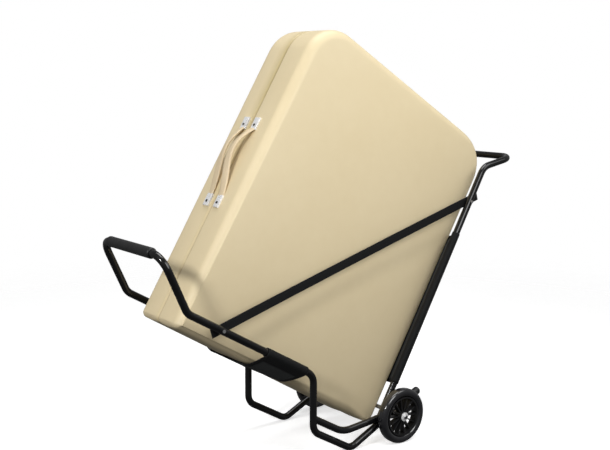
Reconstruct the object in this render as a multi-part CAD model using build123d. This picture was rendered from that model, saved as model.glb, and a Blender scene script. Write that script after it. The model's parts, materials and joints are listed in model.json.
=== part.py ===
from build123d import *
import math
import os

# A two-wheeled steel-tube cart, parked leaning back on its wheels and feet, that
# carries a folded massage table in two fabric slings.
#
# Everything is drawn in the cart's own frame: x runs forward along the rails, y
# runs across to the near side, z runs up the back frame, and the axle is at
# x = z = 0. At the end every node is tipped back by RECLINE and set on the floor.

# ---- cart sizes, millimetres ------------------------------------------------
RECLINE = 30.0         # degrees the parked cart leans back
TUBE_D = 20.0
TUBE_WALL = 1.5
TRACK = 314.0          # between the centrelines of the two side tubes
RAIL_Z = -4.0
RAIL_REAR = 334.0      # x of the corner where a rail turns down into its leg
RAIL_FRONT = 787.0     # x of the corner where a rail turns up to the front handle
BOW_JOINT = 735.0      # x of the butt joint between a rail and the front bow
GRIP_X = 922.0
GRIP_Z = 92.0
GRIP_LENGTH = 222.0
GRIP_D = 28.0
GRIP_ROUND = 3.0
RAIL_BEND = 40.0
BOW_CORNER = 44.0
LEG_BEND = 38.0
FOOT_BEND = 34.0
RISE_ANGLE = 55.4      # degrees, of the tube that climbs from the foot through the axle
TAIL_LENGTH = 104.0    # of that tube beyond the axle
STEP_DROP = 106.0      # of the tilt step's straight part under the rail
STEP_CORNER = 150.0    # x where the tilt step turns up to the axle
STEP_BEND = 90.0
STEP_END = 4.0         # x where it runs into the climbing tube, ahead of the axle
BACK_X = 38.0
BACK_BEND_Z = 783.0    # z of the corner where the back tubes turn to the rear
BACK_BEND = 48.0
HANDLE_X = -60.0
HANDLE_Z = 868.0
HANDLE_CORNER = 42.0
CAP_WALL = 1.6
CAP_LENGTH = 22.0
CAP_DOME = 8.0

# ---- wheels and axle --------------------------------------------------------
WHEEL_D = 160.0
WHEEL_Y = 195.0        # middle of a wheel, from the cart's middle plane
TYRE_WIDTH = 30.0
TYRE_DEPTH = 23.0
RIM_WALL = 4.0
RIM_WIDTH = 26.0
SPOKES = 14
SPOKE_T = 3.0
SPOKE_WIDTH = 17.0
BOSS_D = 27.0
BOSS_WIDTH = 30.0
AXLE_D = 12.0
RUNNING_FIT = 0.05     # radial
BUSH_WALL = 2.2
BUSH_FLANGE_D = 25.0
BUSH_FLANGE_T = 2.0
AXLE_RING_D = 17.0
AXLE_RING_T = 2.0
AXLE_STUB = 3.0        # of the axle outside its end ring
AXLE_CHAMFER = 1.0
END_PLAY = 0.3
SPACER_D = 18.0
SPACER_GAP = 0.2       # between a spacer and the tube beside it

# ---- slings and straps ------------------------------------------------------
CLOTH_T = 2.4
SLEEVE_GAP = 0.3       # between a tube and the cloth round it
NEST_GAP = 0.4         # between a sling and the table that lies in it
BOTTOM_SLING_REAR = 366.0
BOTTOM_SLING_FRONT = 515.0
BOTTOM_SLING_WAIST = 22.0   # how far each hem curves in
BACK_SLING_LOW = 78.0
BACK_SLING_HIGH = 560.0
STRAP_WIDTH = 25.0
STRAP_T = 2.0
STRAP_RAIL_X = 672.0
STRAP_BACK_Z = 666.0
STRAP_TAIL = 26.0
STRAP_GAP = 0.1        # between a strap and the tube beside it
STRAP_ROUND = 3.0
RIVET_D = 5.0
RIVET_HEAD_D = 9.0
RIVET_HEAD_T = 1.6

# ---- folded table -----------------------------------------------------------
TABLE_LEAN = 0.9       # degrees back from square with the rails
TABLE_REAR = 8.5
TABLE_WIDTH = 754.0
TABLE_BOTTOM = -58.0
TABLE_LENGTH = 922.0
TABLE_THICK = 200.0
HALF_GAP = 0.6         # between the two folded halves
HEAD_RADIUS = 112.0    # the table's corners at its head and foot ends
HINGE_RADIUS = 30.0    # the table's corners beside its middle hinges
FACE_EDGE = 25.0
SEAM_EDGE = 11.0
INNER_CORNER = 4.0     # smallest corner inside the upholstery
SIDE_PAD = 18.0
FACE_PAD = 50.0
DECK_T = 4.0
FIT = 0.3
FRAME_W = 20.0
FRAME_GAP = 4.0        # between the two halves' wooden frames
LEG_GAP = 4.0          # from a frame's open face to its legs
LEG_SIZE = 30.0
LEG_SPREAD = 520.0
LEG_LENGTH = 590.0
LEG_ROUND = 3.0
CROSSBAR_DROPS = (94.0, 366.0)   # below the leg pivots
LEG_PIVOT_DROP = 150.0 # from the table's head end to the leg pivots
CROSSBAR = 24.0
LEG_FOOT_L = 20.0
PIVOT_D = 8.0
BRACKET_T = 2.5
BRACKET_W = 26.0
BRACKET_L = 70.0
STRUT_W = 14.0
STRUT_T = 3.0
STRUT_L = 300.0
STRUT_DROP = 324.0     # of a strut's middle below the leg pivots
STRUT_CLEARANCE = 0.2
HINGE_SPREAD = 440.0
HINGE_WIDTH = 70.0
HINGE_LEAF = 30.0
HINGE_LEAF_T = 1.5
HINGE_BARREL_D = 7.0
GRAB_Y = 25.0          # middle of a grab handle, from the seam
GRAB_LOW = 290.0
GRAB_HIGH = 522.0
GRAB_WIDTH = 22.0
GRAB_T = 4.0
GRAB_BOW = 17.0
GRAB_QUARTER = 0.72    # of the bow, at a quarter of the strap's length
GRAB_TUCK = 3.0        # the strap is drawn this far past its plates, then cut off at them
PLATE_W = 23.0
PLATE_H = 36.0
PLATE_T = 6.0
PLATE_ROUND = 1.5
PLATE_GAP = 0.1
PLATE_SCREW_D = 7.0
PLATE_SCREW_T = 1.4
PLATE_SCREW_DROP = 5.0 # below the plate's middle
SCREW_SLOT = 1.0

# ---- places worked out from the sizes ---------------------------------------
tube_r = TUBE_D / 2
half_track = TRACK / 2
lean_back = math.radians(RECLINE)
rise = math.radians(RISE_ANGLE)
wheel_r = WHEEL_D / 2
# The foot's rear bend and the wheels stand on one floor when the cart is tipped back.
half_corner = (math.pi - rise) / 2
foot_z = (-wheel_r + FOOT_BEND + tube_r - FOOT_BEND * math.cos(lean_back)
          - FOOT_BEND * math.sin(lean_back) / math.tan(half_corner)) / (
          math.cos(lean_back) - math.sin(lean_back) / math.tan(rise))
foot_rear_x = -foot_z / math.tan(rise)
# The legs are upright when the cart is parked.
foot_front_x = RAIL_REAR - (RAIL_Z - foot_z) * math.tan(lean_back)
tail = Vector(-TAIL_LENGTH * math.cos(rise), 0, TAIL_LENGTH * math.sin(rise))
seat_back_x = TABLE_REAR - (BACK_SLING_HIGH - TABLE_BOTTOM) * math.sin(math.radians(TABLE_LEAN))
table_half = TABLE_THICK / 2


def bent_path(points, radii):
    """Straight runs through the points, with a bend of the given radius at each inner one."""
    edges = []
    start = points[0]
    for before, corner, after, radius in zip(points, points[1:], points[2:], radii):
        back = (before - corner).normalized()
        ahead = (after - corner).normalized()
        half = math.radians(back.get_angle(ahead)) / 2
        middle = (back + ahead).normalized()
        run = radius / math.tan(half)
        enter = corner + back * run
        leave = corner + ahead * run
        peak = corner + middle * (radius / math.sin(half) - radius)
        edges.append(Edge.make_line(start, enter))
        edges.append(Edge.make_three_point_arc(enter, peak, leave))
        start = leave
    edges.append(Edge.make_line(start, points[-1]))
    return Wire(edges)


def round_bar(path, radius, bore=0.0):
    """A round bar along a path, or a tube when a bore radius is given."""
    section = Circle(radius)
    if bore:
        section = section - Circle(bore)
    return sweep(Plane(origin=path @ 0, z_dir=path % 0) * section, path=path)


def cross_rod(radius, low, high, x=0.0, z=0.0):
    """A rod across the cart, from y = low to y = high."""
    return Pos(x, (low + high) / 2, z) * Rot(90, 0, 0) * Cylinder(radius, high - low)


def slab(sketch, low, high):
    """A sketch in x and z made solid from y = low to y = high."""
    return extrude(Plane.XZ.offset(-high) * sketch, amount=high - low)


def mirrored(shape, side):
    """The near shape, or its copy across the cart's middle plane for side -1."""
    return shape if side > 0 else mirror(shape, about=Plane.XZ)


# ---- base tubes -------------------------------------------------------------
def side_points(side):
    y = side * half_track
    return [Vector(tail.X, y, tail.Z), Vector(foot_rear_x, y, foot_z), Vector(foot_front_x, y, foot_z),
            Vector(RAIL_REAR, y, RAIL_Z), Vector(BOW_JOINT, y, RAIL_Z)]


def side_path(side):
    return bent_path(side_points(side), [FOOT_BEND, LEG_BEND, RAIL_BEND])


def side_tube(side):
    tube = round_bar(side_path(side), tube_r, tube_r - TUBE_WALL)
    y = side * half_track
    tube -= cross_rod(AXLE_D / 2 + RUNNING_FIT, y - TUBE_D, y + TUBE_D)
    tube -= cross_rod(RIVET_D / 2, y - TUBE_D, y + TUBE_D, STRAP_RAIL_X, RAIL_Z)
    return tube


def front_bow():
    points = []
    for side in (1, -1):
        y = side * half_track
        run = [Vector(BOW_JOINT, y, RAIL_Z), Vector(RAIL_FRONT, y, RAIL_Z), Vector(GRIP_X, y, GRIP_Z)]
        points += run if side > 0 else run[::-1]
    radii = [RAIL_BEND, BOW_CORNER, BOW_CORNER, RAIL_BEND]
    return round_bar(bent_path(points, radii), tube_r, tube_r - TUBE_WALL)


def front_grip():
    ends = (-GRIP_LENGTH / 2, GRIP_LENGTH / 2)
    sleeve = cross_rod(GRIP_D / 2, *ends, GRIP_X, GRIP_Z)
    sleeve = fillet(sleeve.edges().filter_by(GeomType.CIRCLE), GRIP_ROUND)
    return sleeve - cross_rod(tube_r, *ends, GRIP_X, GRIP_Z)


def end_caps():
    """A domed plastic cap over the open tail end of each side tube."""
    outward = tail.normalized()
    caps = []
    for side in (1, -1):
        end = Vector(tail.X, side * half_track, tail.Z)
        seat = Plane(origin=end - outward * (CAP_LENGTH / 2), z_dir=outward)
        cap = extrude(seat * Circle(tube_r + CAP_WALL), amount=CAP_LENGTH)
        cap = fillet(cap.edges().filter_by(GeomType.CIRCLE).sort_by(Axis(end, outward))[-1], CAP_DOME)
        cap -= extrude(seat * Circle(tube_r), amount=CAP_LENGTH / 2)
        caps.append(cap)
    return Compound(children=caps)


def step_path():
    y = half_track
    step_z = RAIL_Z - STEP_DROP
    leg_x = RAIL_REAR - STEP_DROP * math.tan(lean_back)
    points = [Vector(leg_x, y, step_z), Vector(STEP_CORNER, y, step_z),
              Vector(STEP_END, y, -STEP_END * math.tan(rise))]
    return bent_path(points, [STEP_BEND])


def back_frame():
    points = []
    for side in (1, -1):
        y = side * half_track
        foot = Vector(BACK_X, y, -BACK_X * math.tan(rise))
        run = [foot, Vector(BACK_X, y, BACK_BEND_Z), Vector(HANDLE_X, y, HANDLE_Z)]
        points += run if side > 0 else run[::-1]
    radii = [BACK_BEND, HANDLE_CORNER, HANDLE_CORNER, BACK_BEND]
    frame = round_bar(bent_path(points, radii), tube_r, tube_r - TUBE_WALL)
    frame -= round_bar(step_path(), tube_r)
    for side in (1, -1):
        y = side * half_track
        frame -= round_bar(side_path(side), tube_r)
        frame -= cross_rod(RIVET_D / 2, y - TUBE_D, y + TUBE_D, BACK_X, STRAP_BACK_Z)
    return frame.solids().sort_by(SortBy.VOLUME)[-1]


def tilt_step():
    """One tube on the near side only, from the leg to the axle, to tread on when tipping the cart."""
    step = round_bar(step_path(), tube_r, tube_r - TUBE_WALL)
    step -= round_bar(side_path(1), tube_r)
    return step.solids().sort_by(SortBy.VOLUME)[-1]


# ---- wheels -----------------------------------------------------------------
def axle():
    reach = WHEEL_Y + BOSS_WIDTH / 2 + BUSH_FLANGE_T + END_PLAY + AXLE_RING_T + AXLE_STUB
    rod = cross_rod(AXLE_D / 2, -reach, reach)
    return chamfer(rod.edges().filter_by(GeomType.CIRCLE), AXLE_CHAMFER)


def axle_spacers():
    low = half_track + tube_r + SPACER_GAP
    high = WHEEL_Y - BOSS_WIDTH / 2 - BUSH_FLANGE_T - END_PLAY
    ring = cross_rod(SPACER_D / 2, low, high) - cross_rod(AXLE_D / 2, low, high)
    return Compound(children=[mirrored(ring, side) for side in (1, -1)])


def axle_rings():
    low = WHEEL_Y + BOSS_WIDTH / 2 + BUSH_FLANGE_T + END_PLAY
    ring = cross_rod(AXLE_RING_D / 2, low, low + AXLE_RING_T) - cross_rod(AXLE_D / 2, low, low + AXLE_RING_T)
    return Compound(children=[mirrored(ring, side) for side in (1, -1)])


def tyre(side):
    middle = wheel_r - TYRE_DEPTH / 2
    section = RectangleRounded(TYRE_DEPTH, TYRE_WIDTH, TYRE_DEPTH / 2 - 1)
    ring = revolve(Plane.XY * Pos(middle, WHEEL_Y) * section, axis=Axis.Y)
    return mirrored(ring, side)


def hub(side):
    rim_r = wheel_r - TYRE_DEPTH
    rim = cross_rod(rim_r, WHEEL_Y - RIM_WIDTH / 2, WHEEL_Y + RIM_WIDTH / 2)
    rim -= cross_rod(rim_r - RIM_WALL, WHEEL_Y - RIM_WIDTH, WHEEL_Y + RIM_WIDTH)
    body = rim + cross_rod(BOSS_D / 2, WHEEL_Y - BOSS_WIDTH / 2, WHEEL_Y + BOSS_WIDTH / 2)
    reach = rim_r - RIM_WALL / 2 - BOSS_D / 4
    for number in range(SPOKES):
        spoke = Pos(BOSS_D / 4 + reach / 2, WHEEL_Y, 0) * Box(reach, SPOKE_WIDTH, SPOKE_T)
        body += Rot(0, 360 / SPOKES * number, 0) * spoke
    body -= cross_rod(AXLE_D / 2 + BUSH_WALL, WHEEL_Y - BOSS_WIDTH, WHEEL_Y + BOSS_WIDTH)
    return mirrored(body, side)


def bush(side):
    low = WHEEL_Y - BOSS_WIDTH / 2
    high = WHEEL_Y + BOSS_WIDTH / 2
    body = cross_rod(AXLE_D / 2 + BUSH_WALL, low - BUSH_FLANGE_T, high + BUSH_FLANGE_T)
    body += cross_rod(BUSH_FLANGE_D / 2, high, high + BUSH_FLANGE_T)
    body += cross_rod(BUSH_FLANGE_D / 2, low - BUSH_FLANGE_T, low)
    body -= cross_rod(AXLE_D / 2 + RUNNING_FIT, low - BOSS_WIDTH, high + BOSS_WIDTH)
    return mirrored(body, side)


# ---- slings and straps ------------------------------------------------------
def sling_section(tube_at, seat_at):
    """Cloth from a sleeve round one tube, under the seat and up to the other tube.

    The sketch's x runs across the cart. Its y runs from the cloth to the table, so
    tube_at is the tubes' height in it and seat_at is the height of the table's face.
    """
    sleeve_r = tube_r + SLEEVE_GAP + CLOTH_T
    flat = seat_at - NEST_GAP
    edge = table_half - 0.6 * FACE_EDGE
    slope = math.atan2(tube_at - flat, half_track - sleeve_r - edge)
    fall = CLOTH_T / math.cos(slope)
    foot = CLOTH_T * math.tan(slope / 2)
    end_y = flat + (half_track - edge) * math.tan(slope)
    right = [(edge, flat), (half_track, end_y), (half_track, end_y - fall), (edge + foot, flat - CLOTH_T)]
    left = [(-x, y) for x, y in reversed(right)]
    web = make_face(Polyline(*(right + left), close=True))
    for side in (1, -1):
        web += Pos(side * half_track, tube_at) * Circle(sleeve_r)
    for side in (1, -1):
        web -= Pos(side * half_track, tube_at) * Circle(tube_r + SLEEVE_GAP)
    return web


def bottom_sling():
    lift = BOTTOM_SLING_REAR * math.sin(math.radians(TABLE_LEAN))
    section = sling_section(RAIL_Z, TABLE_BOTTOM + lift)
    middle = (BOTTOM_SLING_REAR + BOTTOM_SLING_FRONT) / 2
    half_width = (BOTTOM_SLING_FRONT - BOTTOM_SLING_REAR) / 2
    rear = Plane(origin=(BOTTOM_SLING_REAR, 0, 0), x_dir=(0, 1, 0), z_dir=(1, 0, 0))
    body = extrude(rear * section, amount=2 * half_width)
    # Each hem is a shallow arc, deepest in the middle of the cart.
    reach = half_track - tube_r
    hem_r = (reach ** 2 + BOTTOM_SLING_WAIST ** 2) / (2 * BOTTOM_SLING_WAIST)
    for side in (1, -1):
        hem_x = middle + side * (half_width - BOTTOM_SLING_WAIST + hem_r)
        body -= Pos(hem_x, 0, TABLE_BOTTOM) * Cylinder(hem_r, TABLE_THICK)
    return body


def back_sling():
    # In the sketch, y runs forward from the cloth to the table's rear face.
    section = sling_section(BACK_X, seat_back_x)
    floor = Plane(origin=(0, 0, BACK_SLING_LOW), x_dir=(0, -1, 0), z_dir=(0, 0, 1))
    return extrude(floor * section, amount=BACK_SLING_HIGH - BACK_SLING_LOW)


strap_ends = (Vector(STRAP_RAIL_X, 0, RAIL_Z), Vector(BACK_X, 0, STRAP_BACK_Z))


def strap(side):
    low, high = strap_ends
    length = (high - low).length + 2 * STRAP_TAIL
    face_y = half_track - tube_r - STRAP_GAP
    middle = (low + high) * 0.5
    angle = math.degrees(math.atan2(high.Z - low.Z, high.X - low.X))
    outline = Pos(middle.X, middle.Z) * Rot(0, 0, angle) * RectangleRounded(length, STRAP_WIDTH, STRAP_ROUND)
    for end in strap_ends:
        outline -= Pos(end.X, end.Z) * Circle(RIVET_D / 2)
    return mirrored(slab(outline, face_y - STRAP_T, face_y), side)


def strap_rivets():
    inner = half_track - tube_r - STRAP_GAP - STRAP_T
    outer = half_track + tube_r
    rivets = []
    for end in strap_ends:
        pin = cross_rod(RIVET_D / 2, inner, outer, end.X, end.Z)
        pin += cross_rod(RIVET_HEAD_D / 2, outer, outer + RIVET_HEAD_T, end.X, end.Z)
        pin += cross_rod(RIVET_HEAD_D / 2, inner - RIVET_HEAD_T, inner, end.X, end.Z)
        rivets += [mirrored(pin, side) for side in (1, -1)]
    return Compound(children=rivets)


# ---- folded table, drawn square with the rails ------------------------------
def table_outline(inset):
    """The table's outline in x and z, with its head end up, drawn inset by a margin."""
    width = TABLE_WIDTH - 2 * inset
    length = TABLE_LENGTH - 2 * inset
    outline = Rectangle(width, length)
    outline = fillet(outline.vertices().group_by(Axis.Y)[-1], max(HEAD_RADIUS - inset, INNER_CORNER))
    outline = fillet(outline.vertices().group_by(Axis.Y)[0], max(HINGE_RADIUS - inset, INNER_CORNER))
    return Pos(TABLE_REAR + TABLE_WIDTH / 2, TABLE_BOTTOM + TABLE_LENGTH / 2) * outline


frame_inset = SIDE_PAD + FIT
frame_depth = table_half - FACE_PAD - FIT - DECK_T
table_mid_x = TABLE_REAR + TABLE_WIDTH / 2
frame_low_z = TABLE_BOTTOM + frame_inset
pivot_z = TABLE_BOTTOM + TABLE_LENGTH - LEG_PIVOT_DROP
leg_mid_y = FRAME_GAP / 2 + LEG_GAP + LEG_SIZE / 2
leg_end_z = pivot_z + LEG_SIZE / 2 - LEG_LENGTH
hinge_z = frame_low_z - HINGE_BARREL_D / 2 - FIT


def hinge_places():
    return [table_mid_x + place * HINGE_SPREAD / 2 for place in (-1, 1)]


def pad(side):
    body = slab(table_outline(0), HALF_GAP / 2, table_half)
    body = fillet(body.edges().group_by(Axis.Y)[-1], FACE_EDGE)
    body = fillet(body.edges().group_by(Axis.Y)[0], SEAM_EDGE)
    body -= slab(table_outline(SIDE_PAD), 0, table_half - FACE_PAD)
    for x in hinge_places():
        body -= Pos(x, 0, hinge_z) * Box(HINGE_WIDTH + 2, HINGE_BARREL_D + 2, HINGE_BARREL_D + 4)
    return mirrored(body, side)


def deck(side):
    board = slab(table_outline(frame_inset), frame_depth, frame_depth + DECK_T)
    return mirrored(board, side)


def wood_frame(side):
    ring = table_outline(frame_inset) - table_outline(frame_inset + FRAME_W)
    return mirrored(slab(ring, FRAME_GAP / 2, frame_depth), side)


def leg_places():
    return [table_mid_x + place * LEG_SPREAD / 2 for place in (-1, 1)]


def legs(side):
    """Two folded legs with their crossbars, lying along the frame with the feet towards the hinges."""
    solids = []
    for x in leg_places():
        section = Pos(x, leg_mid_y, leg_end_z) * RectangleRounded(LEG_SIZE, LEG_SIZE, LEG_ROUND)
        leg = extrude(section, amount=LEG_LENGTH)
        leg -= Pos(x, leg_mid_y, pivot_z) * Rot(0, 90, 0) * Cylinder(PIVOT_D / 2 + FIT, LEG_SIZE * 2)
        solids.append(leg)
    span = LEG_SPREAD - LEG_SIZE
    for drop in CROSSBAR_DROPS:
        solids.append(Pos(table_mid_x, leg_mid_y, pivot_z - drop) * Box(span, CROSSBAR, CROSSBAR))
    return mirrored(Compound(children=solids), side)


def leg_feet(side):
    feet = []
    for x in leg_places():
        foot = Pos(x, leg_mid_y, leg_end_z - LEG_FOOT_L / 2) * Box(LEG_SIZE, LEG_SIZE, LEG_FOOT_L)
        feet.append(fillet(foot.edges().group_by(Axis.Z)[0], LEG_ROUND))
    return mirrored(Compound(children=feet), side)


def leg_brackets(side):
    """A steel plate on each side rail of the frame, with the pivot that its leg turns on."""
    solids = []
    for place, x in zip((-1, 1), leg_places()):
        outer = place * (TABLE_WIDTH / 2 - frame_inset - FRAME_W) + table_mid_x
        plate = Pos(outer - place * BRACKET_T / 2, leg_mid_y, pivot_z) * Box(BRACKET_T, BRACKET_W, BRACKET_L)
        inner_end = x - place * (LEG_SIZE / 2 + BRACKET_T)
        length = abs(outer - inner_end)
        pin = Pos((outer + inner_end) / 2, leg_mid_y, pivot_z) * Rot(0, 90, 0) * Cylinder(PIVOT_D / 2, length)
        solids.append(plate + pin)
    return mirrored(Compound(children=solids), side)


def struts(side):
    """A flat steel strut beside each leg, folded along it, that locks the leg when it is out."""
    solids = []
    for place, x in zip((-1, 1), leg_places()):
        middle = x + place * (LEG_SIZE / 2 + STRUT_CLEARANCE + STRUT_T / 2)
        solids.append(Pos(middle, leg_mid_y, pivot_z - STRUT_DROP) * Box(STRUT_T, STRUT_W, STRUT_L))
    return mirrored(Compound(children=solids), side)


def hinge_leaves(side):
    solids = []
    for x in hinge_places():
        leaf_y = FRAME_GAP / 2 - HINGE_LEAF_T / 2
        leaf = Pos(x, leaf_y, hinge_z + HINGE_LEAF / 2) * Box(HINGE_WIDTH, HINGE_LEAF_T, HINGE_LEAF)
        solids.append(leaf - Pos(x, 0, hinge_z) * Rot(0, 90, 0) * Cylinder(HINGE_BARREL_D / 2, HINGE_WIDTH * 2))
    return mirrored(Compound(children=solids), side)


def hinge_barrels():
    solids = []
    for x in hinge_places():
        solids.append(Pos(x, 0, hinge_z) * Rot(0, 90, 0) * Cylinder(HINGE_BARREL_D / 2, HINGE_WIDTH))
    return Compound(children=solids)


table_front_x = TABLE_REAR + TABLE_WIDTH


def grab_handle(side):
    """A leather strap from one end plate to the other, bowed out for the fingers."""
    x = table_front_x + PLATE_T / 2
    low = GRAB_LOW + PLATE_H / 2
    high = GRAB_HIGH - PLATE_H / 2
    middle = (low + high) / 2
    quarter = (high - low) / 4
    shoulder = x + GRAB_QUARTER * GRAB_BOW
    line = Spline((x, 0, low - GRAB_TUCK), (shoulder, 0, low + quarter), (x + GRAB_BOW, 0, middle),
                  (shoulder, 0, high - quarter), (x, 0, high + GRAB_TUCK))
    section = Plane(origin=line @ 0, x_dir=(0, 1, 0), z_dir=line % 0) * Rectangle(GRAB_WIDTH, GRAB_T)
    strap_body = sweep(section, path=line) & Pos(x, 0, middle) * Box(TABLE_THICK, TABLE_THICK, high - low)
    return Pos(0, side * GRAB_Y, 0) * strap_body


def grab_plates():
    plates = []
    for side in (1, -1):
        for z in (GRAB_LOW, GRAB_HIGH):
            plate = Box(PLATE_T, PLATE_W, PLATE_H)
            plate = fillet(plate.edges().group_by(Axis.X)[-1], PLATE_ROUND)
            plates.append(Pos(table_front_x + PLATE_GAP + PLATE_T / 2, side * GRAB_Y, z) * plate)
    return Compound(children=plates)


def plate_screws():
    screws = []
    for side in (1, -1):
        for z in (GRAB_LOW, GRAB_HIGH):
            head = Cylinder(PLATE_SCREW_D / 2, PLATE_SCREW_T)
            head -= Pos(0, 0, PLATE_SCREW_T / 2) * Box(PLATE_SCREW_D, SCREW_SLOT, SCREW_SLOT)
            face_x = table_front_x + PLATE_GAP + PLATE_T
            place = Pos(face_x + PLATE_SCREW_T / 2, side * GRAB_Y, z - PLATE_SCREW_DROP)
            screws.append(place * Rot(0, 90, 0) * head)
    return Compound(children=screws)


# ---- the nodes --------------------------------------------------------------
def cart_nodes():
    nodes = {"front_bow": front_bow(), "front_grip": front_grip(), "tube_end_caps": end_caps(),
             "back_frame": back_frame(), "tilt_step": tilt_step(), "axle": axle(),
             "axle_spacers": axle_spacers(), "axle_rings": axle_rings(), "bottom_sling": bottom_sling(),
             "back_sling": back_sling(), "strap_rivets": strap_rivets()}
    for name, side in (("near", 1), ("far", -1)):
        nodes[name + "_side_tube"] = side_tube(side)
        nodes[name + "_strap"] = strap(side)
        nodes[name + "_tyre"] = tyre(side)
        nodes[name + "_hub"] = hub(side)
        nodes[name + "_bush"] = bush(side)
    return nodes


def table_nodes():
    nodes = {"hinge_barrels": hinge_barrels(), "grab_plates": grab_plates(), "plate_screws": plate_screws()}
    for name, side in (("near", 1), ("far", -1)):
        nodes[name + "_pad"] = pad(side)
        nodes[name + "_deck"] = deck(side)
        nodes[name + "_wood_frame"] = wood_frame(side)
        nodes[name + "_legs"] = legs(side)
        nodes[name + "_leg_feet"] = leg_feet(side)
        nodes[name + "_leg_brackets"] = leg_brackets(side)
        nodes[name + "_struts"] = struts(side)
        nodes[name + "_hinge_leaves"] = hinge_leaves(side)
        nodes[name + "_grab_handle"] = grab_handle(side)
    return nodes


def in_cart(shape):
    """Leans a table node back in the slings, about the bottom corner by the axle."""
    pivot = Pos(TABLE_REAR, 0, TABLE_BOTTOM)
    return pivot * Rot(0, -TABLE_LEAN, 0) * pivot.inverse() * shape


def parked(shape):
    """Tips a node back onto the wheels and feet, with the floor at z = 0."""
    return Pos(0, 0, wheel_r) * Rot(0, -RECLINE, 0) * shape


nodes = {name: parked(shape) for name, shape in cart_nodes().items()}
nodes.update({name: parked(in_cart(shape)) for name, shape in table_nodes().items()})
boxes = [shape.bounding_box() for shape in nodes.values()]
middle_x = (min(box.min.X for box in boxes) + max(box.max.X for box in boxes)) / 2
for name, shape in nodes.items():
    export_step(Pos(-middle_x, 0, 0) * shape, "parts/" + name + ".step")
print("middle_x", round(middle_x, 4), "foot_z", round(foot_z, 2))
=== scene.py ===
import json
import math

import bpy
import numpy as np
from mathutils import Matrix, Vector, noise


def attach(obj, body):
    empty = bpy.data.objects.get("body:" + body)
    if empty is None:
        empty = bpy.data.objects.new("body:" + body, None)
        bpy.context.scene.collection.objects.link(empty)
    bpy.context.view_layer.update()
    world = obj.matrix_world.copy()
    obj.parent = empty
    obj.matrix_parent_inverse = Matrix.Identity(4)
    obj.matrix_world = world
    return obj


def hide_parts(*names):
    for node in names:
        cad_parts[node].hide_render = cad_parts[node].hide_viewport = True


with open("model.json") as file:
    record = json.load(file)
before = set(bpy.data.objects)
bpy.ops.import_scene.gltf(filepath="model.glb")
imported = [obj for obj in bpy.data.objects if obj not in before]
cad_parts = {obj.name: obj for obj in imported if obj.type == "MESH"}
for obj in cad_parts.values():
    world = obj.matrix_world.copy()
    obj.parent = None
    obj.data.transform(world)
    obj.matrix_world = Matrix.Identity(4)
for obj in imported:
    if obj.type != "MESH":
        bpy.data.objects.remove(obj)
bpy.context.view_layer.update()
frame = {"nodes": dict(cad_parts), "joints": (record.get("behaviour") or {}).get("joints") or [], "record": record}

# ---- sizes repeated from the part's source, in metres ------------------------
RECLINE = math.radians(30)
TUBE_R = 0.010
HALF_TRACK = 0.157
RAIL_Z = -0.004
BACK_X = 0.038
BOTTOM_SLING = (0.366, 0.515)
BOTTOM_WAIST = 0.010
BACK_SLING = (0.078, 0.560)
CLOTH_T = 0.0024
STRAP_RAIL = (0.672, -0.004)
STRAP_BACK = (0.038, 0.666)
STRAP_W = 0.025
STRAP_TAIL = 0.026
TABLE_LEAN = math.radians(0.9)
TABLE_REAR = 0.0085
TABLE_BOTTOM = -0.058
TABLE_W = 0.754
TABLE_L = 0.922
HALF_T = 0.100
HEAD_R = 0.112
HINGE_R = 0.030
SIDE_PAD = 0.018
FACE_PAD = 0.050
GRAB_Y = 0.025
GRAB_LOW = 0.290
GRAB_HIGH = 0.522
PLATE_H = 0.036
PLATE_T = 0.006

# ---- sizes of the visible pieces alone ---------------------------------------
TOE_R = 0.014            # of the table's front lower corner
FACE_R = 0.027
REAR_R = 0.009           # of the face's edge that lies along the back tubes
SEAM_R = {1: 0.005, -1: 0.013}   # the far half's edge rolls in further than the near one's
SEAM_GAP = 0.0004        # from the table's middle plane to either half
CROWN = 0.006            # how far a face stands up in its middle
SWELL = 0.0016           # of the slow, shallow waves in a face
SIDE_BULGE = 0.0010
THIN_T = 0.0014          # of the back sling's cloth
SLEEVE_GAP = 0.0003      # between a tube and the cloth sewn round it
SEAT_GAP = 0.0004        # between a sling's seat and the table
SEAT_EDGE = 0.012        # from the table's face to the line where a sling's seat begins
SLEEVE_LAP = math.radians(318)
TOP_TAIL = 0.046         # of a strap past the back tube
STRAP_T = 0.0018
STRAP_GAP = 0.0011       # from the back tube's inner side to the strap's middle
STRAP_BOW = 0.0035
STRAP_CUP = 0.0006
GRAB_BOW = {1: 0.026, -1: 0.020}
GRAB_MEAN_BOW = 0.023
GRAB_LEAN = {1: 0.012, -1: 0.004}   # sideways, towards the far side
GRAB_PEAK = 1.45         # over 1, the bow stands furthest out above the strap's middle
GRAB_HALF_W = (0.0105, 0.0008)   # at the ends, and how much more at the bow's top
GRAB_HALF_T = (0.0030, 0.0012)
PLUG_R = 0.0050
PLUG_T = 0.0012

# ---- frames ------------------------------------------------------------------
axle_at = Vector(frame["joints"][0]["pos_m"])
cart = Matrix.Translation((axle_at.x, 0, axle_at.z)) @ Matrix.Rotation(-RECLINE, 4, "Y")
corner = Matrix.Translation((TABLE_REAR, 0, TABLE_BOTTOM))
table = cart @ corner @ Matrix.Rotation(-TABLE_LEAN, 4, "Y") @ corner.inverted()


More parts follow.
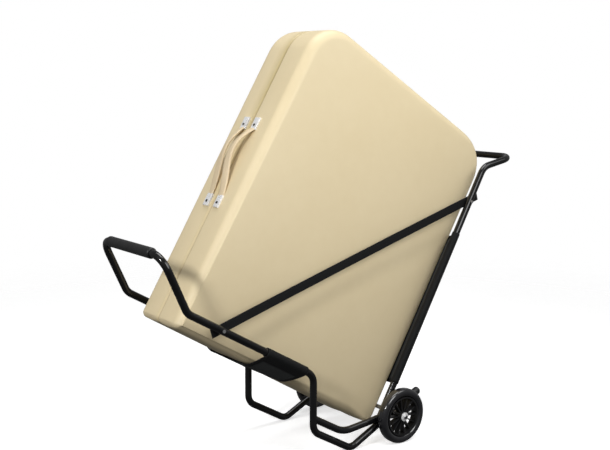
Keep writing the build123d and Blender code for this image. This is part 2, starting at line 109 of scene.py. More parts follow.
# ---- camera ------------------------------------------------------------------
cam_data = bpy.data.cameras.new("camera")
cam_data.sensor_width = 36
cam_data.lens = 58.67
camera = bpy.data.objects.new("camera", cam_data)
bpy.context.scene.collection.objects.link(camera)
look = Vector((-0.6024, -0.7845, -0.1470)).normalized()
right = look.cross(Vector((-0.0859, -0.1194, 0.9891))).normalized()
up = right.cross(look)
turn = Matrix((right, up, -look)).transposed().to_4x4()
camera.matrix_world = Matrix.Translation((1.7645, 2.2107, 1.0431)) @ turn
bpy.context.scene.camera = camera
bpy.context.scene.view_settings.view_transform = "Standard"


# ---- node helpers ------------------------------------------------------------
class Nodes:
    """A new material's node tree, with short calls to add and join nodes."""

    def __init__(self, name):
        self.material = bpy.data.materials.new(name)
        self.material.use_nodes = True
        self.tree = self.material.node_tree
        self.shader = self.tree.nodes["Principled BSDF"]

    def add(self, kind, inputs=None, **settings):
        node = self.tree.nodes.new(kind)
        for key, value in settings.items():
            setattr(node, key, value)
        for key, value in (inputs or {}).items():
            socket = node.inputs[key]
            if isinstance(value, bpy.types.NodeSocket):
                self.tree.links.new(value, socket)
            else:
                socket.default_value = value
        return node

    def set(self, **values):
        for key, value in values.items():
            socket = self.shader.inputs[key.replace("_", " ")]
            if isinstance(value, bpy.types.NodeSocket):
                self.tree.links.new(value, socket)
            else:
                socket.default_value = value

    def coords(self, kind="Object"):
        return self.add("ShaderNodeTexCoord").outputs[kind]

    def noise(self, scale, detail=3.0, rough=0.5, coords=None):
        vector = coords or self.coords()
        node = self.add("ShaderNodeTexNoise", {"Vector": vector, "Scale": scale, "Detail": detail,
                                               "Roughness": rough})
        return node.outputs["Fac"]

    def ramp(self, value, stops):
        node = self.add("ShaderNodeValToRGB", {"Fac": value})
        elements = node.color_ramp.elements
        while len(elements) < len(stops):
            elements.new(0.5)
        for element, (place, colour) in zip(elements, stops):
            element.position = place
            element.color = colour if len(colour) == 4 else (*colour, 1)
        return node.outputs["Color"]

    def math(self, operation, a, b=0.0, c=0.0):
        return self.add("ShaderNodeMath", {0: a, 1: b, 2: c}, operation=operation).outputs[0]

    def span(self, value, low, high):
        node = self.add("ShaderNodeMapRange", {"Value": value, "To Min": low, "To Max": high})
        return node.outputs["Result"]

    def bump(self, height, distance, strength=1.0, under=None):
        inputs = {"Height": height, "Distance": distance, "Strength": strength}
        if under is not None:
            inputs["Normal"] = under
        return self.add("ShaderNodeBump", inputs).outputs["Normal"]


SEAM_SPAN = 0.080        # width of the band of painted seam shade, its middle on the seam
SEAM_LOW, SEAM_HIGH = 0.65, 1.0   # heights between which the first tones turn into the second
# colours of the painted shade along the seam, multiplied into the vinyl: low down, then high up
SEAM_TONES = [(0.30, (1, 1, 1)), (0.44, (0.92, 0.90, 0.83)), (0.475, (0.55, 0.49, 0.35)),
              (0.515, (0.50, 0.44, 0.32)), (0.545, (0.96, 0.95, 0.93)), (0.58, (1, 1, 1))]
SEAM_TONES_HIGH = [(0.06, (1, 1, 1)), (0.30, (0.88, 0.87, 0.80)), (0.43, (0.74, 0.71, 0.58)),
                   (0.475, (0.50, 0.45, 0.32)), (0.515, (0.47, 0.41, 0.29)), (0.545, (0.98, 0.98, 0.97))]


def vinyl(name, base, dark, seam=False):
    """Soft upholstery vinyl: a fine pressed grain, slightly uneven colour and sheen."""
    m = Nodes(name)
    cells = m.add("ShaderNodeTexVoronoi", {"Vector": m.coords(), "Scale": 900.0},
                  feature="DISTANCE_TO_EDGE")
    grain = m.ramp(cells.outputs["Distance"], [(0.0, (0, 0, 0)), (0.22, (1, 1, 1))])
    broad = m.noise(3.0, 2.0)
    mottle = m.noise(34.0, 4.0)
    tone = m.math("MULTIPLY_ADD", mottle, 0.35, m.math("MULTIPLY", broad, 0.65))
    colour = m.ramp(tone, [(0.25, dark), (0.75, base)])
    if seam:
        # Painted shade: the colour darkens towards the seam, in a band that widens on the far half near the top.
        place = m.add("ShaderNodeSeparateXYZ", {"Vector": m.coords()}).outputs
        across = m.math("MULTIPLY_ADD", place["Y"], 1 / SEAM_SPAN, 0.5)
        high = m.add("ShaderNodeMapRange", {"Value": place["Z"], "From Min": SEAM_LOW,
                                            "From Max": SEAM_HIGH}).outputs["Result"]
        painted_seam_shade = m.add("ShaderNodeMixRGB", {"Fac": high, "Color1": m.ramp(across, SEAM_TONES),
                                           "Color2": m.ramp(across, SEAM_TONES_HIGH)}).outputs["Color"]
        colour = m.add("ShaderNodeMixRGB", {"Fac": 1.0, "Color1": colour, "Color2": painted_seam_shade},
                       blend_type="MULTIPLY").outputs["Color"]
    m.set(Base_Color=colour)
    m.set(Roughness=m.span(mottle, 0.44, 0.58))
    fine = m.bump(grain, 0.00012, 0.35)
    m.set(Normal=m.bump(m.noise(60.0, 2.0), 0.0006, 0.25, fine))
    m.shader.inputs["Specular IOR Level"].default_value = 0.42
    m.shader.inputs["Coat Weight"].default_value = 0.08
    m.shader.inputs["Coat Roughness"].default_value = 0.35
    return m.material


def gloss_paint(name):
    """Gloss black powder coat with a faint orange peel."""
    m = Nodes(name)
    black = m.ramp(m.noise(22.0, 5.0), [(0.3, (0.0025, 0.0025, 0.003)), (0.8, (0.006, 0.006, 0.0065))])
    m.set(Base_Color=black)
    m.set(Roughness=m.span(m.noise(90.0, 4.0), 0.12, 0.24))
    m.set(Normal=m.bump(m.noise(420.0, 2.0), 0.00015, 0.12))
    m.shader.inputs["Specular IOR Level"].default_value = 0.4
    m.shader.inputs["Coat Weight"].default_value = 0.3
    m.shader.inputs["Coat Roughness"].default_value = 0.05
    return m.material


def foam(name):
    """Skinned closed-cell foam."""
    m = Nodes(name)
    pores = m.add("ShaderNodeTexVoronoi", {"Vector": m.coords(), "Scale": 1400.0})
    black = m.ramp(m.noise(60.0, 4.0), [(0.3, (0.006, 0.006, 0.0065)), (0.8, (0.013, 0.013, 0.0135))])
    m.set(Base_Color=black)
    m.set(Roughness=m.span(m.noise(200.0, 3.0), 0.34, 0.48))
    fine = m.bump(pores.outputs["Distance"], 0.0002, 0.4)
    m.set(Normal=m.bump(m.noise(150.0, 2.0), 0.0004, 0.25, fine))
    return m.material


def weave(name, base, light, pitch, depth, rough=0.82):
    """Woven cloth, its threads laid along the mesh's UVs, which are in metres."""
    m = Nodes(name)
    uv = m.add("ShaderNodeSeparateXYZ", {"Vector": m.coords("UV")})
    turns = 2 * math.pi / pitch
    warp = m.math("SINE", m.math("MULTIPLY", uv.outputs["X"], turns))
    weft = m.math("SINE", m.math("MULTIPLY", uv.outputs["Y"], turns))
    threads = m.math("MULTIPLY_ADD", m.math("MULTIPLY", warp, weft), 0.5, 0.5)
    fuzz = m.noise(500.0, 3.0)
    tone = m.math("MULTIPLY_ADD", threads, 0.6, m.math("MULTIPLY", fuzz, 0.4))
    m.set(Base_Color=m.ramp(tone, [(0.2, base), (0.8, light)]))
    m.set(Roughness=m.span(fuzz, rough - 0.08, rough + 0.06))
    m.set(Normal=m.bump(threads, depth, 0.6, m.bump(fuzz, 0.0002, 0.3)))
    m.shader.inputs["Specular IOR Level"].default_value = 0.15
    m.shader.inputs["Sheen Weight"].default_value = 0.03
    m.shader.inputs["Sheen Roughness"].default_value = 0.45
    return m.material


def rubber(name):
    """Smooth, glossy black rubber."""
    m = Nodes(name)
    m.set(Base_Color=m.ramp(m.noise(40.0, 5.0), [(0.3, (0.006, 0.006, 0.008)), (0.8, (0.013, 0.013, 0.016))]))
    m.set(Roughness=m.span(m.noise(120.0, 4.0), 0.14, 0.26))
    m.set(Normal=m.bump(m.noise(260.0, 3.0), 0.0002, 0.2))
    m.shader.inputs["Coat Weight"].default_value = 1.0
    m.shader.inputs["Coat Roughness"].default_value = 0.1
    return m.material


def moulded(name, low=0.28, high=0.42):
    """Moulded black plastic with a slight texture from the mould."""
    m = Nodes(name)
    black = m.ramp(m.noise(50.0, 4.0), [(0.3, (0.007, 0.007, 0.0075)), (0.8, (0.015, 0.015, 0.016))])
    m.set(Base_Color=black)
    m.set(Roughness=m.span(m.noise(150.0, 4.0), low, high))
    m.set(Normal=m.bump(m.noise(700.0, 2.0), 0.0001, 0.25))
    return m.material


def metal(name, colour, low, high, fine, metallic=1.0):
    """Worn metal, its roughness between low and high."""
    m = Nodes(name)
    dark = tuple(c * 0.82 for c in colour)
    m.set(Base_Color=m.ramp(m.noise(80.0, 4.0), [(0.3, dark), (0.7, colour)]))
    m.set(Metallic=metallic, Roughness=m.span(m.noise(fine, 4.0), low, high))
    m.set(Normal=m.bump(m.noise(fine * 1.6, 3.0), 0.00006, 0.2))
    return m.material


def wood(name):
    """Lacquered beech, its grain narrow along Y and long along X and Z."""
    m = Nodes(name)
    mapping = m.add("ShaderNodeMapping", {"Vector": m.coords(), "Scale": (1.0, 9.0, 1.0)})
    stretched = mapping.outputs["Vector"]
    grain = m.noise(70.0, 6.0, 0.6, stretched)
    m.set(Base_Color=m.ramp(grain, [(0.3, (0.36, 0.22, 0.12)), (0.7, (0.58, 0.40, 0.24))]))
    m.set(Roughness=m.span(grain, 0.35, 0.5), Normal=m.bump(grain, 0.0003, 0.3))
    return m.material


CREAM = (0.815, 0.690, 0.450)
CREAM_DARK = (0.775, 0.645, 0.405)
look_of = {
    "black_tube": gloss_paint("black_tube"),
    "foam_grip": foam("foam_grip"),
    "black_plastic": moulded("black_plastic"),
    "bare_steel": metal("bare_steel", (0.60, 0.60, 0.61), 0.28, 0.42, 300.0),
    "dark_steel": metal("dark_steel", (0.10, 0.09, 0.08), 0.35, 0.5, 300.0),
    "chrome_fitting": metal("chrome_fitting", (0.98, 0.98, 0.98), 0.22, 0.34, 220.0, 0.22),
    "sling_cloth": weave("sling_cloth", (0.030, 0.033, 0.033), (0.066, 0.070, 0.070), 0.0011, 0.0002),
    "webbing": weave("webbing", (0.004, 0.004, 0.0045), (0.011, 0.0115, 0.012), 0.0016, 0.0004, 0.66),
    "rubber_tyre": rubber("rubber_tyre"),
    "hub_plastic": moulded("hub_plastic", 0.30, 0.45),
    # the table's vinyl carries painted shade along its seam
    "cream_upholstery": vinyl("cream_upholstery", CREAM, CREAM_DARK, seam=True),
    "cream_leather": vinyl("cream_leather", (0.77, 0.63, 0.42), (0.70, 0.56, 0.36)),
    "beech_wood": wood("beech_wood"),
    "rubber_foot": moulded("rubber_foot", 0.6, 0.8),
}
for part in frame["record"]["subparts"]:
    node = frame["nodes"][part["node"]]
    node.data.materials.clear()
    node.data.materials.append(look_of[part["material_slot"]])


# ---- mesh helpers ------------------------------------------------------------
def make_piece(name, points, faces, slot_name, body, place, uvs=None, level=0):
    """A smooth mesh piece, its points given in the cart's or the table's frame."""
    mesh = bpy.data.meshes.new(name)
    mesh.from_pydata([place @ Vector(p) for p in points], [], faces)
    mesh.validate()
    if uvs is not None:
        layer = mesh.uv_layers.new(name="UVMap")
        for loop in mesh.loops:
            layer.data[loop.index].uv = uvs[loop.vertex_index]
    mesh.shade_smooth()
    piece = bpy.data.objects.new(name, mesh)
    bpy.context.scene.collection.objects.link(piece)
    piece.data.materials.append(look_of[slot_name])
    if level:
        modifier = piece.modifiers.new("smooth", "SUBSURF")
        modifier.levels = modifier.render_levels = level
    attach(piece, body)
    return piece


def strip_faces(rows, columns, wrap=False):
    """Quads of a grid of points, row by row; wrap joins each row's end to its start."""
    faces = []
    across = columns if wrap else columns - 1
    for i in range(rows - 1):
        for j in range(across):
            k = (j + 1) % columns
            faces.append((i * columns + j, i * columns + k, (i + 1) * columns + k, (i + 1) * columns + j))
    return faces


def thicken(piece, thickness):
    """Gives a sheet its thickness, half on each side."""
    modifier = piece.modifiers.new("thick", "SOLIDIFY")
    modifier.thickness = thickness
    modifier.offset = 0


def smoothstep(t):
    t = min(max(t, 0.0), 1.0)
    return t * t * (3 - 2 * t)


# ---- upholstered halves ------------------------------------------------------
CORNER_STEPS = 14
SIDE_STEPS = 22
SEAM_STEPS = 8
WALL_STEPS = 8
EDGE_STEPS = 12
FACE_SCALES = (0.985, 0.95, 0.90, 0.84, 0.76, 0.66, 0.55, 0.43, 0.30, 0.17, 0.05)


def outline(inset):
    """Points round the table's outline, in x and z from its rear bottom corner."""
    corners = [(HINGE_R, HINGE_R, HINGE_R, 180), (TABLE_W - TOE_R, TOE_R, TOE_R, 270),
               (TABLE_W - HEAD_R, TABLE_L - HEAD_R, HEAD_R, 0), (HEAD_R, TABLE_L - HEAD_R, HEAD_R, 90)]
    arcs = []
    for x, z, radius, start in corners:
        arc = []
        for i in range(CORNER_STEPS + 1):
            a = math.radians(start + 90 * i / CORNER_STEPS)
            r = max(radius - inset, 0.001)
            arc.append((x + r * math.cos(a), z + r * math.sin(a)))
        arcs.append(arc)
    points = []
    for arc, following in zip(arcs, arcs[1:] + arcs[:1]):
        points += arc
        (x0, z0), (x1, z1) = arc[-1], following[0]
        for i in range(1, SIDE_STEPS):
            t = i / SIDE_STEPS
            points.append((x0 + (x1 - x0) * t, z0 + (z1 - z0) * t))
    return points


def edge_points(share, rear):
    """The outline, inset by a share of the face's edge rounding, which is smaller at the rear."""
    pairs = zip(outline(FACE_R * share), outline(REAR_R * share), rear)
    return [(x0 + (x1 - x0) * w, z0 + (z1 - z0) * w, w) for (x0, z0), (x1, z1), w in pairs]


def crown(x, z):
    """How far the face's foam stands up there, as a share of its most."""
    u = 1 - abs(2 * x / TABLE_W - 1) ** 5
    v = 1 - abs(2 * z / TABLE_L - 1) ** 5
    return max(u, 0) * max(v, 0)


def upholstered_half(side, seed):
    """Half of the table: rings of points from its inner tray, round the seam's edge and over the face.

    Each point has its share of the face's crown and its share of the side's bulge.
    """
    rings = []
    seam_r = SEAM_R[side]

    mid_x, mid_z = TABLE_W / 2, TABLE_L / 2

    def ring(inset, y):
        rings.append([(x, y, z, 0.0, 0.0) for x, z in outline(inset)])

    def shrunk(places, y, scale, share):
        rings.append([(mid_x + (x - mid_x) * scale, y, mid_z + (z - mid_z) * scale, share, 0.0)
                      for x, z in places])

    tray_y = HALF_T - FACE_PAD
    for scale in (0.03, 0.5, 0.98):
        shrunk(outline(SIDE_PAD), tray_y, scale, 0.0)
    for inset, y in ((0, tray_y), (0, tray_y - 0.002), (0, 0.004), (0, 0.0012), (0.002, SEAM_GAP)):
        ring(SIDE_PAD - inset, y)
    for i in range(SEAM_STEPS + 1):
        a = math.radians(90 * i / SEAM_STEPS)
        ring(seam_r * (1 - math.sin(a)), SEAM_GAP + seam_r * (1 - math.cos(a)))
    side_low = SEAM_GAP + seam_r
    rear = [smoothstep((HEAD_R - x) / HEAD_R) for x, z in outline(0.0)]
    top = [HALF_T - FACE_R + (FACE_R - REAR_R) * w for w in rear]
    for i in range(1, WALL_STEPS):
        t = i / WALL_STEPS
        rings.append([(x, side_low + (high - side_low) * t, z, 0.0, math.sin(math.pi * t))
                      for (x, z), high in zip(outline(0.0), top)])
    for i in range(EDGE_STEPS + 1):
        a = math.radians(90 * i / EDGE_STEPS)
        below = 1 - math.sin(a)
        rings.append([(x, HALF_T - (FACE_R + (REAR_R - FACE_R) * w) * below, z, math.sin(a) ** 2, 0.0)
                      for x, z, w in edge_points(1 - math.cos(a), rear)])
    for scale in FACE_SCALES:
        shrunk([(x, z) for x, z, w in edge_points(1.0, rear)], HALF_T, scale, 1.0)
    points = []
    for loop in rings:
        for x, y, z, share, lift in loop:
            y += CROWN * crown(x, z) * share
            # The vinyl isn't dead flat: very broad, shallow swells.
            y += noise.noise(Vector((x * 2.6, seed, z * 2.6))) * SWELL * share
            out = SIDE_BULGE * lift * (1 + 0.5 * noise.noise(Vector((x * 5, seed + 7, z * 5))))
            dx, dz = x - mid_x, z - mid_z
            if lift and abs(abs(dx) - mid_x) < 0.001:
                x += math.copysign(out, dx)
            if lift and abs(abs(dz) - mid_z) < 0.001:
                z += math.copysign(out, dz)
            points.append((TABLE_REAR + x, side * y, TABLE_BOTTOM + z))
    columns = len(rings[0])
    faces = strip_faces(len(rings), columns, wrap=True)
    faces.append(tuple(range(columns))[::-1])
    last = (len(rings) - 1) * columns
    faces.append(tuple(range(last, last + columns)))
    if side > 0:
        faces = [face[::-1] for face in faces]
    name = "near" if side > 0 else "far"
    piece = make_piece(name + "_half", points, faces, "cream_upholstery", "table", table, level=1)
    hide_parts(name + "_pad")


upholstered_half(1, 3.1)
upholstered_half(-1, 8.7)


# ---- slings ------------------------------------------------------------------
CLOTH_STEP = 0.0035
SLEEVE_STEPS = 18
HEM_COLUMNS = 2
RIPPLE = 0.0007
RIPPLE_INNER = 0.10      # from the middle plane, where the ripples begin
RIPPLE_OUTER = 0.012     # short of the tubes, where they end
BELLY = (0.016, 0.008)   # past the table's face, and up from the seat
CLOTH_COLUMN = 0.006
FEWEST_COLUMNS = 24
TRIM_COVER = 0.0006      # the cloth is this much thinner than its sling, so the trim lies over it


def polyline(points, step):
    """Points every step along a line that rounds the given corners."""
    dense = []
    n = len(points)
    for i in range(n - 1):
        p0, p1, p2, p3 = (Vector(points[max(0, min(n - 1, k))]) for k in (i - 1, i, i + 1, i + 2))
        for k in range(12):
            t = k / 12
            dense.append(0.5 * ((2 * p1) + (p2 - p0) * t + (2 * p0 - 5 * p1 + 4 * p2 - p3) * t * t
                                + (3 * p1 - p0 - 3 * p2 + p3) * t * t * t))
    dense.append(Vector(points[-1]))
    lengths = np.cumsum([0.0] + [(b - a).length for a, b in zip(dense, dense[1:])])
    count = max(int(round(lengths[-1] / step)), 2)
    out = []
    for s in np.linspace(0, lengths[-1], count + 1):
        i = min(int(np.searchsorted(lengths, s, side="right")) - 1, len(dense) - 2)
        t = (s - lengths[i]) / max(lengths[i + 1] - lengths[i], 1e-9)
        out.append(dense[i].lerp(dense[i + 1], t))
    return out, float(lengths[-1])


def cloth_section(tube_at, seat_at, thickness, bellied):
    """Half of the cloth's middle line, from its lap on the sleeve to the middle of the seat."""
    sleeve = TUBE_R + SLEEVE_GAP + thickness / 2
    flat = seat_at - SEAT_GAP - CLOTH_T / 2
    edge = HALF_T - SEAT_EDGE
    # The web leaves the tube's lower outer side on a line that touches the sleeve's circle.
    dx, dy = HALF_TRACK - edge, tube_at - flat
    length = math.hypot(dx, dy)
    leave = math.atan2(-dy, -dx) + math.acos(min(sleeve / length, 1.0))
    start = leave + SLEEVE_LAP
    loop = []
    for i in range(SLEEVE_STEPS + 1):
        a = start + (leave - start) * i / SLEEVE_STEPS
        loop.append((HALF_TRACK + sleeve * math.cos(a), tube_at + sleeve * math.sin(a)))
    touch = loop[-1]
    if bellied:
        belly = (HALF_T + BELLY[0], flat + BELLY[1])
    else:
        belly = ((touch[0] + edge) / 2, (touch[1] + flat) / 2)
    web = []
    for t in (0.2, 0.4, 0.6, 0.8):
        near, middle, far = (1 - t) ** 2, 2 * t * (1 - t), t * t
        web.append(tuple(near * touch[k] + middle * belly[k] + far * (edge, flat)[k] for k in (0, 1)))
    seat = [(edge - 0.004, flat - 0.0002), (edge - 0.014, flat), (edge - 0.035, flat), (edge / 3, flat),
            (0, flat)]
    return loop + web + seat


def cloth_piece(name, tube_at, seat_at, span, waist, thickness, point_of):
    """A sling's cloth over its span of the tubes, its hems drawn in by waist at the middle."""
    half = cloth_section(tube_at, seat_at, thickness, waist > 0)
    full = half + [(-y, d) for y, d in reversed(half[:-1])]
    line, length = polyline([(y, d, 0) for y, d in full], CLOTH_STEP)
    middle, reach = (span[0] + span[1]) / 2, (span[1] - span[0]) / 2
    columns = max(int(reach * 2 / CLOTH_COLUMN), FEWEST_COLUMNS)
    inner = HALF_TRACK - TUBE_R
    hem_r = (inner ** 2 + waist ** 2) / (2 * waist) if waist else 0.0
    points, uvs = [], []
    along = 0.0
    previous = None
    for p in line:
        along += (p - previous).length if previous else 0.0
        previous = p
        pull = 0.0
        if waist and abs(p.x) < inner:
            pull = math.sqrt(max(hem_r ** 2 - p.x ** 2, 0)) - (hem_r - waist)
        # Small slack ripples run across the web, where nothing presses on it.
        free = smoothstep((abs(p.x) - RIPPLE_INNER) / 0.03)
        free *= smoothstep((HALF_TRACK - RIPPLE_OUTER - abs(p.x)) / 0.01)
        for j in range(columns + 1):
            u = 2 * j / columns - 1
            s = middle + u * (reach - pull)
            wave = abs(RIPPLE * free * noise.noise(Vector((s * 30, p.x * 12, tube_at))))
            points.append(point_of(s, p.x, p.y - wave))
            uvs.append((s, along))
    faces = strip_faces(len(line), columns + 1)
    piece = make_piece(name + "_cloth", points, faces, "sling_cloth", "cart", cart, uvs)
    thicken(piece, thickness - TRIM_COVER)
    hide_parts(name)
    return piece, length, (points, uvs, line, columns + 1)


def trim(name, thickness, points, uvs, line, across):
    """The sling's black parts: the sleeves round both tubes, and a tape bound over each hem."""
    faces = strip_faces(len(line), across)
    kept = []
    for i in range(len(line) - 1):
        sleeve = abs(line[i].x) > HALF_TRACK - TUBE_R - 0.004
        for j in range(across - 1):
            if sleeve or j < HEM_COLUMNS or j >= across - 1 - HEM_COLUMNS:
                kept.append(faces[i * (across - 1) + j])
    used = sorted({k for face in kept for k in face})
    place = {k: n for n, k in enumerate(used)}
    piece = make_piece(name + "_trim", [points[k] for k in used],
                       [tuple(place[k] for k in face) for face in kept], "webbing", "cart", cart,
                       [uvs[k] for k in used])
    thicken(piece, thickness)


def sling(name, tube_at, seat_at, span, waist, thickness, trim_thickness, point_of):
    """A sling's cloth and its black trim; gives the cloth and its length across."""
    piece, length, grid = cloth_piece(name, tube_at, seat_at, span, waist, thickness, point_of)
    trim(name, trim_thickness, *grid)
    return piece, length


bottom_seat = TABLE_BOTTOM + BOTTOM_SLING[0] * math.sin(TABLE_LEAN)
bottom_cloth, bottom_across = sling("bottom_sling", RAIL_Z, bottom_seat, BOTTOM_SLING, BOTTOM_WAIST,
                                    CLOTH_T, CLOTH_T + 0.0004, lambda s, y, d: (s, y, d))
back_seat = TABLE_REAR - (BACK_SLING[1] - TABLE_BOTTOM) * math.sin(TABLE_LEAN)
back_cloth, back_across = sling("back_sling", BACK_X, back_seat, BACK_SLING, 0.0,
                                THIN_T, THIN_T, lambda s, y, d: (d, y, s))


# ---- straps ------------------------------------------------------------------
def webbing_strap(side):
    """A side strap from the rail to the back tube, bowed in a little and faintly cupped."""
    name = "near" if side > 0 else "far"
    low, high = Vector((STRAP_RAIL[0], 0, STRAP_RAIL[1])), Vector((STRAP_BACK[0], 0, STRAP_BACK[1]))
    along = (high - low).normalized()
    across = Vector((-along.z, 0, along.x))
    length = (high - low).length
    y = side * (HALF_TRACK - TUBE_R - STRAP_GAP)
    rows, columns = 140, 9
    total = STRAP_TAIL + length + TOP_TAIL
    points, uvs = [], []
    for i in range(rows + 1):
        s = -STRAP_TAIL + total * i / rows
        t = min(max(s / length, 0.0), 1.0)
        sway = -STRAP_BOW * math.sin(math.pi * t) * side
        for j in range(columns + 1):
            w = (j / columns - 0.5) * STRAP_W
            p = low + along * s + across * w
            cup = STRAP_CUP * (1 - (2 * j / columns - 1) ** 2) * math.sin(math.pi * t)
            points.append((p.x, y + sway + side * cup, p.z))
            uvs.append((w, s))
    faces = strip_faces(rows + 1, columns + 1)
    piece = make_piece(name + "_webbing", points, faces, "webbing", "cart", cart, uvs)
    thicken(piece, STRAP_T)
    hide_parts(name + "_strap")


for side in (1, -1):
    webbing_strap(side)


# ---- grab handles ------------------------------------------------------------
def grab_handle(side):
    """A folded leather strap, thick in the middle, bowed out and leaning towards one side."""
    name = "near" if side > 0 else "far"
    x = TABLE_REAR + TABLE_W + PLATE_T / 2
    low, high = GRAB_LOW + PLATE_H / 2 - 0.004, GRAB_HIGH - PLATE_H / 2 + 0.004
    rows, around = 60, 20
    points, uvs = [], []
    for i in range(rows + 1):
        t = i / rows
        arch = math.sin(math.pi * t ** GRAB_PEAK)
        centre = Vector((x + GRAB_BOW[side] * arch, side * GRAB_Y - GRAB_LEAN[side] * arch,
                         low + (high - low) * t))
        width = GRAB_HALF_W[0] + GRAB_HALF_W[1] * arch
        thick = GRAB_HALF_T[0] + GRAB_HALF_T[1] * arch
        twist = math.radians(14 * math.sin(2 * math.pi * t) + 6 * side)
        lean = math.atan2(GRAB_MEAN_BOW * math.pi * math.cos(math.pi * t ** GRAB_PEAK), high - low)
        for j in range(around):
            a = 2 * math.pi * j / around
            w = width * math.copysign(abs(math.cos(a)) ** 0.7, math.cos(a))
            h = thick * math.copysign(abs(math.sin(a)) ** 0.8, math.sin(a))
            out = h * math.cos(twist) - w * math.sin(twist)
            sideways = h * math.sin(twist) + w * math.cos(twist)
            points.append((centre.x + out * math.cos(lean), centre.y + sideways,
                           centre.z - out * math.sin(lean)))
            uvs.append((t * 0.2, a * 0.008))
    faces = strip_faces(rows + 1, around, wrap=True)
    faces.append(tuple(range(around))[::-1])
    faces.append(tuple(range(rows * around, (rows + 1) * around)))
    piece = make_piece(name + "_grab_strap", points, faces, "cream_leather", "table", table, uvs, level=1)
    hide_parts(name + "_grab_handle")


for side in (1, -1):
    grab_handle(side)


# ---- axle ends ---------------------------------------------------------------
PLUG_PROFILE = [(0.6, 0.9), (0.9, 0.6), (1.0, 0.2), (1.0, -0.2)]   # shares of PLUG_R and PLUG_T
PLUG_SIDES = 32


def axle_plug(side):
    """A dark domed plug on the axle's end."""
    end = max(corner_at[1] for corner_at in frame["nodes"]["axle"].bound_box)
    points, faces = [(0, side * (end + PLUG_T), 0)], []
    for share, rise in PLUG_PROFILE:
        for j in range(PLUG_SIDES):
            a = 2 * math.pi * j / PLUG_SIDES
            y = side * (end + PLUG_T * rise)
            points.append((PLUG_R * share * math.cos(a), y, PLUG_R * share * math.sin(a)))
    for j in range(PLUG_SIDES):
        after = (j + 1) % PLUG_SIDES
        faces.append((0, 1 + after, 1 + j))
        for i in range(len(PLUG_PROFILE) - 1):
            row = 1 + i * PLUG_SIDES
            faces.append((row + j, row + after, row + PLUG_SIDES + after, row + PLUG_SIDES + j))
    last = 1 + (len(PLUG_PROFILE) - 1) * PLUG_SIDES
    faces.append(tuple(range(last, last + PLUG_SIDES)))
    if side < 0:
        faces = [face[::-1] for face in faces]
    name = "near" if side > 0 else "far"
    make_piece(name + "_axle_plug", points, faces, "black_plastic", "cart", cart)


for side in (1, -1):
    axle_plug(side)


# ---- floor, lights -----------------------------------------------------------
FLOOR_Z = -0.0005
FLOOR_SIDES = 64
FLOOR_RINGS = (0.6, 1.2, 2.0, 3.0, 4.5, 6.5, 9.0)
FLOOR_GLOW = 0.55
FADE_START, FADE_END = 0.9, 3.2   # distances over which the floor turns transparent
DIM_FROM, DIM_TO = -0.6, 0.2      # the world's light grows between these heights of its direction
DIM_BELOW, DIM_ABOVE = 0.07, 0.25
floor_points = [(0.0, 0.0, FLOOR_Z)]
floor_faces = []
for i, radius in enumerate(FLOOR_RINGS):
    for j in range(FLOOR_SIDES):
        a = 2 * math.pi * j / FLOOR_SIDES
        floor_points.append((radius * math.cos(a), radius * math.sin(a), FLOOR_Z))
        row = 1 + i * FLOOR_SIDES
        k, after = row + j, row + (j + 1) % FLOOR_SIDES
        if i == 0:
            floor_faces.append((k, after, 0))
        else:
            floor_faces.append((k - FLOOR_SIDES, k, after, after - FLOOR_SIDES))
floor_mesh = bpy.data.meshes.new("floor")
floor_mesh.from_pydata(floor_points, [], floor_faces)
floor = bpy.data.objects.new("floor", floor_mesh)
bpy.context.scene.collection.objects.link(floor)
pale = Nodes("pale_floor")
tones = [(0.0, (0.93, 0.93, 0.93)), (1.0, (0.96, 0.96, 0.96))]
pale.set(Base_Color=pale.ramp(pale.noise(4.0, 3.0), tones))
away = pale.add("ShaderNodeVectorMath", {0: pale.coords()}, operation="LENGTH").outputs["Value"]
fade = pale.add("ShaderNodeMapRange", {"Value": away, "From Min": FADE_START, "From Max": FADE_END,
                                       "To Min": 1.0, "To Max": 0.0},
                interpolation_type="SMOOTHSTEP").outputs["Result"]
pale.set(Roughness=0.75, Alpha=fade, Emission_Color=(1, 1, 1, 1), Emission_Strength=FLOOR_GLOW)
floor.data.materials.append(pale.material)
floor.visible_diffuse = False      # its bounce would flatten the underside's shade
floor.visible_glossy = False

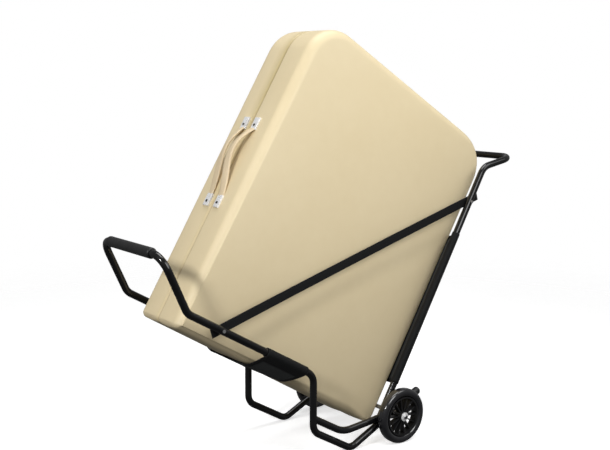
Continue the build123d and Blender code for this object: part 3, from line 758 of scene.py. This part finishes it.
world = bpy.data.worlds.new("studio")
bpy.context.scene.world = world
world.use_nodes = True
tree = world.node_tree
soft = tree.nodes["Background"]
soft.inputs["Color"].default_value = (1, 1, 1, 1)
sky = tree.nodes.new("ShaderNodeSeparateXYZ")
dim_below = tree.nodes.new("ShaderNodeMapRange")
dim_below.inputs["From Min"].default_value = DIM_FROM
dim_below.inputs["From Max"].default_value = DIM_TO
dim_below.inputs["To Min"].default_value = DIM_BELOW
dim_below.inputs["To Max"].default_value = DIM_ABOVE
tree.links.new(tree.nodes.new("ShaderNodeTexCoord").outputs["Generated"], sky.inputs[0])
tree.links.new(sky.outputs["Z"], dim_below.inputs["Value"])
tree.links.new(dim_below.outputs["Result"], soft.inputs["Strength"])
backdrop = tree.nodes.new("ShaderNodeBackground")
backdrop.inputs["Color"].default_value = (1, 1, 1, 1)
backdrop.inputs["Strength"].default_value = 1.0
ray = tree.nodes.new("ShaderNodeLightPath")
either = tree.nodes.new("ShaderNodeMixShader")
tree.links.new(ray.outputs["Is Camera Ray"], either.inputs["Fac"])
tree.links.new(soft.outputs[0], either.inputs[1])
tree.links.new(backdrop.outputs[0], either.inputs[2])
tree.links.new(either.outputs[0], tree.nodes["World Output"].inputs["Surface"])


MIDDLE = Vector((0.1, 0.0, 0.55))


def area_light(name, azimuth, elevation, distance, size, power):
    """A softbox aimed at the middle of the object, its azimuth turned from +X towards +Y."""
    data = bpy.data.lights.new(name, "AREA")
    data.size = size
    data.energy = power
    light = bpy.data.objects.new(name, data)
    bpy.context.scene.collection.objects.link(light)
    a, e = math.radians(azimuth), math.radians(elevation)
    out = Vector((math.cos(a) * math.cos(e), math.sin(a) * math.cos(e), math.sin(e)))
    turn = (-out).to_track_quat("-Z", "Y").to_matrix().to_4x4()
    light.matrix_world = Matrix.Translation(MIDDLE + out * distance) @ turn


area_light("key", 21.2, 22.8, 2.6, 0.30, 27)
area_light("overhead", 180, 85, 2.6, 1.56, 36)
area_light("side", 90, 26, 1.5, 0.8, 10)
area_light("rear_side", 138, 38, 1.5, 0.7, 3.6)
